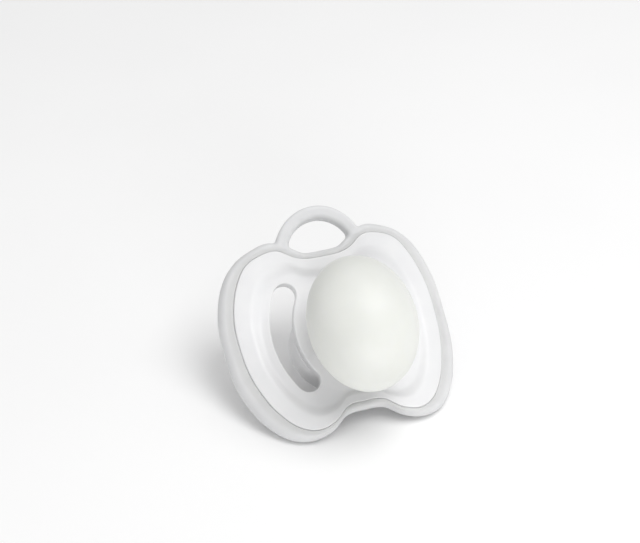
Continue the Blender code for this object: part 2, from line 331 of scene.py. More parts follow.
@dataclass(frozen=True)
class Finish:
    """A moulded finish: cloudy colour, uneven gloss, mould grain and light that soaks in."""

    name: str
    pale: Colour
    deep: Colour
    gloss: Pair
    grain: Grain
    cloud: float = 5.0 * MM
    soak: float = 0.0
    soak_depth: Colour = (1.0, 1.0, 1.0)
    soak_scale: float = 1.0 * MM
    ior: float = 1.46
    flow: float = 0.0
    cloud_band: Pair = (0.35, 0.65)
    gloss_band: Pair = (0.3, 0.7)
    gloss_pace: float = 2.3
    flow_pace: float = 0.8

    def make(self) -> bpy.types.Material:
        """Build the node material.

        Returns:
            The material, on Object coordinates.
        """
        made = bpy.data.materials.new(self.name)
        made.use_nodes = True
        tree = made.node_tree
        shader = tree.nodes["Principled BSDF"]
        where = tree.nodes.new("ShaderNodeTexCoord")
        clouds = self._noise(tree, where, 1.0 / self.cloud, 3.0)
        fine = self._noise(tree, where, 1.0 / self.grain.value[0], 2.0)
        mix = tree.nodes.new("ShaderNodeMix")
        mix.data_type = "RGBA"
        mix.inputs["A"].default_value = (*self.pale, 1.0)
        mix.inputs["B"].default_value = (*self.deep, 1.0)
        share = self._spread(tree, clouds, self.cloud_band, (0.0, 1.0))
        tree.links.new(share, mix.inputs["Factor"])
        tree.links.new(mix.outputs["Result"], shader.inputs["Base Color"])
        patches = self._noise(tree, where, self.gloss_pace / self.cloud, 4.0)
        gloss = self._spread(tree, patches, self.gloss_band, self.gloss)
        tree.links.new(gloss, shader.inputs["Roughness"])
        normal = self._bump(tree, fine, self.grain.value[1])
        if self.flow > 0.0:
            swell = self._noise(tree, where, self.flow_pace / self.cloud, 0.0)
            normal = self._bump(tree, swell, self.flow, normal)
        tree.links.new(normal, shader.inputs["Normal"])
        shader.inputs["IOR"].default_value = self.ior
        shader.inputs["Subsurface Weight"].default_value = self.soak
        shader.inputs["Subsurface Radius"].default_value = self.soak_depth
        shader.inputs["Subsurface Scale"].default_value = self.soak_scale
        made.diffuse_color = (*self.pale, 1.0)
        return made

    @staticmethod
    def _noise(
        tree: bpy.types.NodeTree, where: bpy.types.Node, scale: float, detail: float
    ) -> bpy.types.NodeSocket:
        """Add a noise on Object coordinates.

        Args:
            tree: the material's tree.
            where: its Texture Coordinate node.
            scale: cells to the metre.
            detail: octaves.

        Returns:
            The noise's value.
        """
        noise = tree.nodes.new("ShaderNodeTexNoise")
        noise.inputs["Scale"].default_value = scale
        noise.inputs["Detail"].default_value = detail
        tree.links.new(where.outputs["Object"], noise.inputs["Vector"])
        return noise.outputs["Fac"]

    @staticmethod
    def _bump(
        tree: bpy.types.NodeTree,
        height: bpy.types.NodeSocket,
        distance: float,
        under: bpy.types.NodeSocket | None = None,
    ) -> bpy.types.NodeSocket:
        """Add a bump.

        Args:
            tree: the material's tree.
            height: the socket that shapes it.
            distance: how high it is.
            under: the normal that it is laid over, if there is one.

        Returns:
            The new normal.
        """
        bump = tree.nodes.new("ShaderNodeBump")
        bump.inputs["Strength"].default_value = 1.0
        bump.inputs["Distance"].default_value = distance
        tree.links.new(height, bump.inputs["Height"])
        if under is not None:
            tree.links.new(under, bump.inputs["Normal"])
        return bump.outputs["Normal"]

    @staticmethod
    def _spread(
        tree: bpy.types.NodeTree, value: bpy.types.NodeSocket, band: Pair, result: Pair
    ) -> bpy.types.NodeSocket:
        """Map a value from one range to another.

        Args:
            tree: the material's tree.
            value: the socket to read.
            band: the range to read.
            result: what its two ends become.

        Returns:
            The mapped value.
        """
        spread = tree.nodes.new("ShaderNodeMapRange")
        for name, number in zip(("From Min", "From Max", "To Min", "To Max"), (*band, *result)):
            spread.inputs[name].default_value = number
        tree.links.new(value, spread.inputs["Value"])
        return spread.outputs["Result"]


WHITE_PLASTIC = Finish(
    name="white_polypropylene",
    pale=(0.775, 0.775, 0.78),
    deep=(0.755, 0.755, 0.765),
    gloss=(0.34, 0.44),
    grain=Grain.SPARK,
    soak=0.40,
    soak_scale=1.6 * MM,
    flow=0.004 * MM,
)
BUTTON_PLASTIC = Finish(
    name="button_polypropylene",
    pale=(0.82, 0.82, 0.825),
    deep=(0.80, 0.80, 0.81),
    gloss=(0.28, 0.38),
    grain=Grain.SATIN,
    soak=0.40,
    soak_scale=1.6 * MM,
)
PLUG_PLASTIC = Finish(
    name="plug_polypropylene",
    pale=(0.76, 0.76, 0.77),
    deep=(0.72, 0.725, 0.735),
    gloss=(0.42, 0.55),
    grain=Grain.SPARK,
    soak=0.10,
    soak_scale=0.6 * MM,
)
GREY_SILICONE = Finish(
    name="grey_silicone",
    pale=(0.69, 0.692, 0.697),
    deep=(0.66, 0.663, 0.669),
    gloss=(0.42, 0.56),
    grain=Grain.SATIN,
    soak=0.55,
    soak_depth=(1.0, 1.0, 1.05),
    soak_scale=1.2 * MM,
    ior=1.41,
    flow=0.010 * MM,
)
IVORY_SILICONE = Finish(
    name="ivory_silicone",
    pale=(0.765, 0.773, 0.742),
    deep=(0.74, 0.749, 0.715),
    gloss=(0.34, 0.41),
    grain=Grain.POLISHED,
    cloud=7.0 * MM,
    soak=0.75,
    soak_depth=(1.0, 1.0, 0.88),
    soak_scale=1.6 * MM,
    ior=1.41,
    flow=0.012 * MM,
)


# --------------------------------------------------------------------------------------
# Mesh making
# --------------------------------------------------------------------------------------


class Skin:
    """A mesh being put together on the shield's axes."""

    def __init__(self) -> None:
        """Start with nothing."""
        self.points: list[np.ndarray] = []
        self.faces: list[tuple[int, ...]] = []
        self.count = 0

    def add(self, points: np.ndarray) -> np.ndarray:
        """Add points.

        Args:
            points: rows of u, v and w.

        Returns:
            The numbers of the new points.
        """
        self.points.append(np.asarray(points, float))
        first = self.count
        self.count += len(points)
        return np.arange(first, self.count)

    def strips(self, rows: Sequence[np.ndarray]) -> None:
        """Join closed rows of as many points, one after another, with faces of four corners."""
        for one, other in zip(rows[:-1], rows[1:]):
            corners = np.stack([one, np.roll(one, -1), np.roll(other, -1), other], 1)
            self.faces.extend(map(tuple, corners.tolist()))

    def mesh(self, name: str) -> bpy.types.Mesh:
        """Make the mesh, its faces pointing outwards.

        Args:
            name: name of the mesh.

        Returns:
            The mesh.
        """
        made = bpy.data.meshes.new(name)
        points = np.concatenate(self.points)
        made.from_pydata(points.tolist(), [], self.faces)
        turn_outwards(made)
        return made


def turn_outwards(mesh: bpy.types.Mesh, merge: float = 0.0) -> None:
    """Point a closed mesh's faces outwards.

    Args:
        mesh: the mesh to change.
        merge: points nearer than this are joined first.
    """
    builder = bmesh.new()
    builder.from_mesh(mesh)
    if merge > 0.0:
        bmesh.ops.remove_doubles(builder, verts=builder.verts, dist=merge)
    bmesh.ops.recalc_face_normals(builder, faces=builder.faces)
    builder.to_mesh(mesh)
    builder.free()


def put_in_scene(name: str, data: bpy.types.ID) -> bpy.types.Object:
    """Make an object of some data and link it into the scene."""
    made = bpy.data.objects.new(name, data)
    bpy.context.scene.collection.objects.link(made)
    return made


def keep_mesh(holder: bpy.types.Object) -> bpy.types.Mesh:
    """Remove an object and keep the mesh that its modifiers make.

    Args:
        holder: the object.

    Returns:
        The plain mesh.
    """
    bpy.context.view_layer.update()
    graph = bpy.context.evaluated_depsgraph_get()
    mesh = bpy.data.meshes.new_from_object(holder.evaluated_get(graph))
    bpy.data.objects.remove(holder, do_unlink=True)
    return mesh


@dataclass(frozen=True)
class Stroke:
    """Centre line and width of a vent slot, a round-ended stroke along an arc."""

    side: float
    width: float = 4.66 * MM
    arc_radius: float = 18.0 * MM
    middle: float = 11.95 * MM
    end_height: float = 9.1 * MM
    arc_steps: int = 58
    end_steps: int = 26

    @property
    def centre(self) -> float:
        """Place across the shield of the arc's centre."""
        return self.middle - self.arc_radius

    @property
    def swing(self) -> float:
        """Half of the angle that the arc spans."""
        return math.asin(self.end_height / self.arc_radius)

    def outline(self, grow: float) -> np.ndarray:
        """Give the slot's outline moved outwards.

        Args:
            grow: how far outside the wall of the slot.

        Returns:
            Points (u, v), as many for any grow.
        """
        centre, swing = self.centre, self.swing
        half = 0.5 * self.width + grow
        outer = np.linspace(-swing, swing, self.arc_steps)
        top = np.linspace(swing, swing + math.pi, self.end_steps)[1:-1]
        low = np.linspace(math.pi - swing, 2.0 * math.pi - swing, self.end_steps)[1:-1]
        tip_u = centre + self.arc_radius * math.cos(swing)
        pieces = (
            self._around(centre, 0.0, self.arc_radius + half, outer),
            self._around(tip_u, self.end_height, half, top),
            self._around(centre, 0.0, self.arc_radius - half, outer[::-1]),
            self._around(tip_u, -self.end_height, half, low),
        )
        points = np.concatenate(pieces)
        points[:, 0] *= self.side
        return points

    @staticmethod
    def _around(u: float, v: float, radius: float, angles: np.ndarray) -> np.ndarray:
        """Give points on a circle."""
        return np.stack([u + radius * np.cos(angles), v + radius * np.sin(angles)], 1)

    def outside(self, u: np.ndarray, v: np.ndarray) -> np.ndarray:
        """Give how far points are outside the wall of the slot.

        Args:
            u: places across the shield.
            v: places up it.

        Returns:
            The distances, below 0 inside the slot.
        """
        across = self.side * u - self.centre
        angle = np.clip(np.arctan2(v, across), -self.swing, self.swing)
        near_u = self.arc_radius * np.cos(angle)
        near_v = self.arc_radius * np.sin(angle)
        return np.hypot(across - near_u, v - near_v) - 0.5 * self.width


@dataclass(frozen=True)
class ShieldPlate:
    """The hard plate: dished front, two vent slots, a tongue in the rim and a boss behind."""

    form: ShieldForm
    slots: tuple[Stroke, Stroke] = (Stroke(1.0), Stroke(-1.0))
    edge_round: float = 0.18 * MM
    slot_round: float = 0.20 * MM
    hole_round: float = 0.30 * MM
    tongue_share: float = 0.32
    tongue_top: float = 0.8 * MM
    tongue_thick: float = 0.6 * MM
    boss_foot: float = 0.4 * MM
    boss_lip: float = 0.22 * MM
    edge_guards: Pair = (0.12 * MM, 0.34 * MM)
    hole_guard: float = 0.15 * MM
    slot_guards: Triple = (0.10 * MM, 0.26 * MM, 0.50 * MM)
    clear: float = 0.62 * MM
    boss_clear: float = 0.2 * MM
    spacing: float = 0.40 * MM
    rings: int = 42
    ring_shares: Pair = (0.02, 0.995)
    least_spread: int = 60
    stagger: float = 2.4
    stations: int = 400
    hub_steps: int = 144
    front_turns: tuple[float, ...] = (22.5, 45.0, 67.5, 90.0)
    back_turns: tuple[float, ...] = (90.0, 60.0, 30.0)

    @property
    def hub(self) -> HubSizes:
        """Sizes of the stack behind the teat."""
        return self.form.hub

    @property
    def turns(self) -> np.ndarray:
        """Turns at which the plate's edge is laid out."""
        return full_turn(self.stations)

    def edge(self, inset: float) -> np.ndarray:
        """Give the plate's outline moved inwards, square to itself.

        Args:
            inset: how far inside the edge.

        Returns:
            Points (u, v).
        """
        line = clockwise(self.form.plate_radius(self.turns), self.turns)
        along = np.roll(line, -1, axis=0) - np.roll(line, 1, axis=0)
        along /= np.linalg.norm(along, axis=1)[:, None]
        inwards = np.stack([along[:, 1], -along[:, 0]], 1)
        return line + inset * inwards

    def circle(self, radius: float) -> np.ndarray:
        """Give a circle round the hub."""
        return clockwise(radius, full_turn(self.hub_steps)) - (0.0, self.hub.drop)

    def lift(self, flat: np.ndarray, drop: float) -> np.ndarray:
        """Lift flat points on to the plate's front, less a drop."""
        height = self.form.front(flat[:, 0], flat[:, 1]) - drop
        return np.column_stack([flat, height])

    def grid(self) -> np.ndarray:
        """Give evenly spread points between the hub and the edge.

        Returns:
            The points (u, v).
        """
        rings = []
        hole = self.hub.hole_radius
        radius = np.mean(self.form.plate_radius(self.turns))
        for share in np.linspace(*self.ring_shares, self.rings):
            length = radius * share + hole * (1.0 - share)
            count = max(self.least_spread, int(2.0 * math.pi * length / self.spacing))
            turn = full_turn(count) + self.stagger * share
            reach = hole * (1.0 - share) + share * self.form.plate_radius(turn)
            rings.append(clockwise(reach, turn) - (0.0, self.hub.drop * (1.0 - share)))
        return np.concatenate(rings)

    def near_openings(self, points: np.ndarray) -> np.ndarray:
        """Tell which points are too near the plate's edge, hole or slots.

        Args:
            points: places (u, v).

        Returns:
            True for each that is.
        """
        u, v = points[:, 0], points[:, 1]
        reach = np.hypot(u, v) - self.form.plate_radius(np.arctan2(u, v))
        near = reach > -(self.edge_round + self.clear)
        hole = self.hub.hole_radius + self.hole_round + self.clear
        near |= np.hypot(u, v + self.hub.drop) < hole
        for stroke in self.slots:
            near |= stroke.outside(u, v) < self.slot_round + self.clear
        return near

    def in_boss(self, points: np.ndarray, clear: float = 0.0) -> np.ndarray:
        """Tell which points are in the ring that the boss stands on, or within clear of it."""
        inner, outer = self.hub.boss_radii
        away = np.hypot(points[:, 0], points[:, 1] + self.hub.drop)
        return (away > inner - clear) & (away < outer + self.boss_foot + clear)

    def patch(
        self,
        skin: Skin,
        loops: Sequence[np.ndarray],
        guards: Sequence[np.ndarray],
        drop: float,
        holds_boss: bool,
    ) -> list[np.ndarray]:
        """Fill the face between closed loops with small triangles.

        Args:
            skin: the mesh to add to.
            loops: closed outlines (u, v) that end the face.
            guards: more closed outlines inside the face, for its shape near the edges.
            drop: how far the face lies below the plate's front.
            holds_boss: whether the boss stands on the face, which has no skin there.

        Returns:
            The numbers of the points of each loop.
        """
        spread = self.grid()
        spread = spread[~self.near_openings(spread)]
        if holds_boss:
            spread = spread[~self.in_boss(spread, self.boss_clear)]
        flat = np.concatenate([*loops, *guards, spread])
        edges, first = [], 0
        for loop in (*loops, *guards):
            size = len(loop)
            edges.extend((first + k, first + (k + 1) % size) for k in range(size))
            first += size
        verts = [Vector(point) for point in flat / MM]
        out, _, faces, sources, _, _ = delaunay_2d_cdt(verts, edges, [], 0, NOTHING)
        number = {j: i for i, source in enumerate(sources) for j in source}
        plane = np.array([tuple(point) for point in out]) * MM
        numbers = skin.add(self.lift(plane, drop))
        rows, first = [], 0
        owner = np.full(len(plane), -1)
        for index, loop in enumerate(loops):
            row = [number[first + k] for k in range(len(loop))]
            owner[row] = index
            rows.append(numbers[row])
            first += len(loop)
        # A triangle with all its corners on one loop lies beyond that loop.
        corners = np.array(faces)
        owners = owner[corners]
        bare = (owners >= 0).all(axis=1) & (owners == owners[:, :1]).all(axis=1)
        if holds_boss:
            bare |= self.in_boss(plane[corners].mean(axis=1))
        skin.faces.extend(map(tuple, numbers[corners[~bare]].tolist()))
        return rows

    def build(self) -> bpy.types.Mesh:
        """Build the plate.

        Returns:
            The plate's mesh on the shield's axes.
        """
        hub, skin = self.hub, Skin()
        edge, slot, hole = self.edge_round, self.slot_round, self.hole_round
        bounds = [self.edge(edge), self.circle(hub.hole_radius + hole)]
        bounds += [stroke.outline(slot) for stroke in self.slots]
        guards = [self.edge(edge + extra) for extra in self.edge_guards]
        guards.append(self.circle(hub.hole_radius + hole + self.hole_guard))
        for stroke in self.slots:
            guards += [stroke.outline(slot + extra) for extra in self.slot_guards]
        front = self.patch(skin, bounds, guards, 0.0, holds_boss=False)
        inner, outer = hub.boss_radii
        rings = [self.circle(outer + self.boss_foot), self.circle(inner)]
        back = self.patch(skin, [*bounds, *rings], guards, hub.plate_thick, holds_boss=True)
        ends = list(zip(front, back))
        self._wall(skin, self.edge, edge, ends[0], self._tongue())
        self._wall(skin, lambda grow: self.circle(hub.hole_radius + grow), hole, ends[1])
        for stroke, end in zip(self.slots, ends[2:]):
            self._wall(skin, stroke.outline, slot, end)
        self._boss(skin, back[4], back[5])
        return skin.mesh("shield_plate")

    def _wall(
        self,
        skin: Skin,
        maker: Callable[[float], np.ndarray],
        size: float,
        ends: tuple[np.ndarray, np.ndarray],
        between: Sequence[tuple[np.ndarray, float]] = (),
    ) -> None:
        """Add a wall with a rounded edge at the front and a flatter one at the back.

        Args:
            skin: the mesh to add to.
            maker: gives the wall's outline moved into the material.
            size: radius of the edge at the front.
            ends: numbers of the points that end the front, then of those that end the back.
            between: the outline of each row between the edges, with its drop below the front.
        """
        thick = self.hub.plate_thick
        rows = [(maker(inset), drop) for inset, drop in rounding(size, self.front_turns)]
        rows += between
        rows += [(maker(inset), thick - 0.5 * up) for inset, up in rounding(size, self.back_turns)]
        numbers = [skin.add(self.lift(flat, drop)) for flat, drop in rows]
        skin.strips([ends[0], *numbers, ends[1]])

    def _tongue(self) -> list[tuple[np.ndarray, float]]:
        """Give the rows of the tongue that the rim is moulded round.

        Returns:
            Each row's outline and its drop below the front.
        """
        radius = self.form.plate_radius(self.turns)
        band = self.form.rim_radius(self.turns) - radius
        root = self.edge(0.0)
        tip = root * (1.0 + self.tongue_share * band / radius)[:, None]
        top, low = self.tongue_top, self.tongue_top + self.tongue_thick
        return [(root, top), (tip, top), (tip, low), (root, low)]

    def _boss(self, skin: Skin, foot: np.ndarray, root: np.ndarray) -> None:
        """Add the boss, from its rounded foot over its free edge and down inside.

        Args:
            skin: the mesh to add to.
            foot: numbers of the points round the foot.
            root: numbers of the points where the inside meets the plate.
        """
        hub, rise = self.hub, (0.0, 30.0, 60.0, 90.0)
        inner, outer = hub.boss_radii
        profile = [(outer + side, hub.back - up) for side, up in rounding(self.boss_foot, rise[1:])]
        for up, side in rounding(self.boss_lip, rise):
            profile.append((outer - side, hub.boss_low + up))
        for up, side in rounding(self.boss_lip, rise[::-1]):
            profile.append((inner + side, hub.boss_low + up))
        rows = [foot]
        for radius, height in profile:
            flat = self.circle(radius)
            rows.append(skin.add(np.column_stack([flat, np.full(len(flat), height)])))
        skin.strips([*rows, root])


# --------------------------------------------------------------------------------------
# Geometry Nodes
# --------------------------------------------------------------------------------------


class GrownTree:
    """A geometry tree with named inputs, grown into a plain mesh."""

    def __init__(self, name: str) -> None:
        """Start a tree with a geometry output."""
        self.tree = bpy.data.node_groups.new(name, "GeometryNodeTree")
        self.tree.interface.new_socket(
            name="Geometry", in_out="OUTPUT", socket_type="NodeSocketGeometry"
        )
        self.given = self.tree.nodes.new("NodeGroupInput")
        self.result = self.tree.nodes.new("NodeGroupOutput")
        self.identifiers: dict[str, str] = {}

    def ask(self, name: str, kind: str) -> bpy.types.NodeSocket:
        """Add a named input.

        Args:
            name: name of the input.
            kind: its type, as in Float or Object.

        Returns:
            Its socket inside the tree.
        """
        socket_type = "NodeSocket" + kind
        made = self.tree.interface.new_socket(name=name, in_out="INPUT", socket_type=socket_type)
        self.identifiers[name] = made.identifier
        return self.given.outputs[name]

    def floats(self, *names: str) -> tuple[bpy.types.NodeSocket, ...]:
        """Add a named input for each of some numbers."""
        return tuple(self.ask(name, "Float") for name in names)

    def node(self, kind: str, **inputs: object) -> bpy.types.Node:
        """Add a node.

        Args:
            kind: the node's type, without its GeometryNode prefix unless it is a function
                or shader node.
            inputs: for each input, with _ for a space, a socket to link or a value.

        Returns:
            The node.
        """
        full = kind if kind.startswith(("Shader", "Function")) else "GeometryNode" + kind
        made = self.tree.nodes.new(full)
        for name, value in inputs.items():
            self.put(made.inputs[name.replace("_", " ")], value)
        return made

    def put(self, socket: bpy.types.NodeSocket, value: object) -> None:
        """Link a socket into an input, or set the input's value.

        Args:
            socket: the input.
            value: a socket to link, or a value.
        """
        if isinstance(value, bpy.types.NodeSocket):
            self.tree.links.new(value, socket)
        else:
            socket.default_value = value

    def maths(self, operation: str, *values: object) -> bpy.types.NodeSocket:
        """Add a maths node.

        Args:
            operation: what it does.
            values: a socket or a number for each input.

        Returns:
            Its value.
        """
        made = self.tree.nodes.new("ShaderNodeMath")
        made.operation = operation
        for socket, value in zip(made.inputs, values):
            self.put(socket, value)
        return made.outputs[0]

    def place(self, geometry: bpy.types.NodeSocket, *moved: object) -> bpy.types.NodeSocket:
        """Set each point's x, y and z.

        Args:
            geometry: the geometry to move.
            moved: the new x, y and z.

        Returns:
            The moved geometry.
        """
        joined = self.node("ShaderNodeCombineXYZ", X=moved[0], Y=moved[1], Z=moved[2])
        made = self.node("SetPosition", Geometry=geometry, Position=joined.outputs[0])
        return made.outputs[0]

    def axes(self) -> tuple[bpy.types.NodeSocket, ...]:
        """Read where points are.

        Returns:
            Each point's x, y and z.
        """
        here = self.node("InputPosition")
        parts = self.node("ShaderNodeSeparateXYZ", Vector=here.outputs[0])
        return tuple(parts.outputs)

    def end(self, geometry: bpy.types.NodeSocket, material: bpy.types.NodeSocket) -> None:
        """End the tree in Realize Instances and Set Material.

        Args:
            geometry: what the tree makes.
            material: the finish.
        """
        real = self.node("RealizeInstances", Geometry=geometry)
        dressed = self.node("SetMaterial", Geometry=real.outputs[0], Material=material)
        self.tree.links.new(dressed.outputs[0], self.result.inputs["Geometry"])

    def grow(self, name: str, **values: object) -> bpy.types.Mesh:
        """Run the tree once and keep its mesh.

        Args:
            name: name of the mesh.
            values: for each named input, with _ for a space, its value.

        Returns:
            The plain mesh that the tree makes, its faces pointing outwards.
        """
        holder = put_in_scene(name + "_holder", bpy.data.meshes.new(name))
        modifier = holder.modifiers.new("grow", "NODES")
        modifier.node_group = self.tree
        for key, value in values.items():
            modifier[self.identifiers[key.replace("_", " ")]] = value
        mesh = keep_mesh(holder)
        mesh.name = name
        turn_outwards(mesh, MERGE)
        return mesh


class TurnedTree(GrownTree):
    """Turns a profile about the hub's axis, and can make its far end oval and drooping."""

    guide: float = 1.0 * MM

    def __init__(self) -> None:
        """Grow the tree."""
        super().__init__("turned_piece")
        profile = self.ask("Profile", "Object")
        steps = self.ask("Steps", "Int")
        taller, droop = self.floats("Taller", "Droop")
        low, high, shift = self.floats("Blend Low", "Blend High", "Shift")
        material = self.ask("Material", "Material")
        seen = self.node("ObjectInfo", Object=profile)
        circle = self.node("CurvePrimitiveCircle", Resolution=steps, Radius=self.guide)
        swept = self.node(
            "CurveToMesh", Curve=circle.outputs["Curve"], Profile_Curve=seen.outputs["Geometry"]
        )
        x, y, z = self.axes()
        ease = self.node("ShaderNodeMapRange", Value=z, From_Min=low, From_Max=high)
        ease.interpolation_type = "SMOOTHSTEP"
        share = ease.outputs["Result"]
        growth = self.maths("MULTIPLY_ADD", self.maths("SUBTRACT", taller, 1.0), share, 1.0)
        fall = self.maths("SUBTRACT", shift, self.maths("MULTIPLY", droop, share))
        moved = self.place(swept.outputs[0], x, self.maths("MULTIPLY_ADD", y, growth, fall), z)
        self.end(moved, material)

    def turn(
        self,
        name: str,
        profile: Sequence[Pair],
        material: bpy.types.Material,
        shift: float,
        steps: int,
        oval: tuple[float, float, float, float] = (1.0, 0.0, 0.0, 1.0),
    ) -> bpy.types.Mesh:
        """Turn one profile.

        Args:
            name: name of the mesh.
            profile: points (radius, height).
            material: the piece's finish.
            shift: how far the axis is moved along v.
            steps: how many faces go round.
            oval: how much taller the far end is, how far it droops, and the heights
                between which both come in.

        Returns:
            The mesh on the shield's axes.
        """
        line = bpy.data.curves.new(name + "_profile", "CURVE")
        line.dimensions = "3D"
        spline = line.splines.new("POLY")
        spline.points.add(len(profile) - 1)
        for point, (radius, height) in zip(spline.points, profile):
            point.co = (radius - self.guide, -height, 0.0, 1.0)
        helper = put_in_scene(name + "_profile", line)
        taller, droop, low, high = oval
        mesh = self.grow(
            name,
            Profile=helper,
            Steps=steps,
            Taller=taller,
            Droop=droop,
            Blend_Low=low,
            Blend_High=high,
            Shift=shift,
            Material=material,
        )
        bpy.data.objects.remove(helper, do_unlink=True)
        return mesh


class LoopTree(GrownTree):
    """Sweeps a band with rounded corners along the arch of the carry loop."""

    corner_points: int = 8

    def __init__(self) -> None:
        """Grow the tree."""
        super().__init__("carry_loop")
        half_width, rise, base, foot = self.floats("Half Width", "Rise", "Base", "Foot Angle")
        band, thick, corner, widening = self.floats("Band", "Thickness", "Corner", "Widening")
        depth, lift, sweep = self.floats("Depth", "Lift", "Sweep")
        steps = self.ask("Steps", "Int")
        material = self.ask("Material", "Material")
        span = self.maths("MULTIPLY_ADD", foot, -2.0, math.pi)
        arc = self.node(
            "CurveArc", Resolution=steps, Radius=1.0, Start_Angle=foot, Sweep_Angle=span
        )
        x, y, z = self.axes()
        wider = self.maths("MULTIPLY_ADD", self.maths("MULTIPLY", x, x), widening, 1.0)
        sized = self.node("SetCurveRadius", Curve=arc.outputs["Curve"], Radius=wider)
        path = self.place(
            sized.outputs["Curve"],
            self.maths("MULTIPLY", x, half_width),
            self.maths("MULTIPLY_ADD", y, rise, base),
            z,
        )
        shape = self.node("CurvePrimitiveQuadrilateral", Width=band, Height=thick)
        rounded = self.node("FilletCurve", Curve=shape.outputs[0], Radius=corner)
        rounded.mode = "POLY"
        rounded.inputs["Count"].default_value = self.corner_points
        swept = self.node(
            "CurveToMesh", Curve=path, Profile_Curve=rounded.outputs[0], Fill_Caps=True
        )
        x, y, z = self.axes()
        ends = self.maths("MULTIPLY", self.maths("MULTIPLY", y, y), lift)
        sides = self.maths("MULTIPLY", self.maths("MULTIPLY", x, x), sweep)
        bent = self.maths("ADD", z, self.maths("SUBTRACT", ends, sides))
        moved = self.place(swept.outputs[0], x, y, self.maths("SUBTRACT", bent, depth))
        self.end(moved, material)


@dataclass(frozen=True)
class LoopSizes:
    """Sizes of the carry loop."""

    half_width: float = 8.2 * MM
    rise: float = 8.05 * MM
    base: float = 16.1 * MM
    band: float = 2.65 * MM
    thick: float = 2.75 * MM
    corner: float = 0.85 * MM
    widening: float = 0.27
    foot_angle: float = math.radians(17.0)
    steps: int = 90


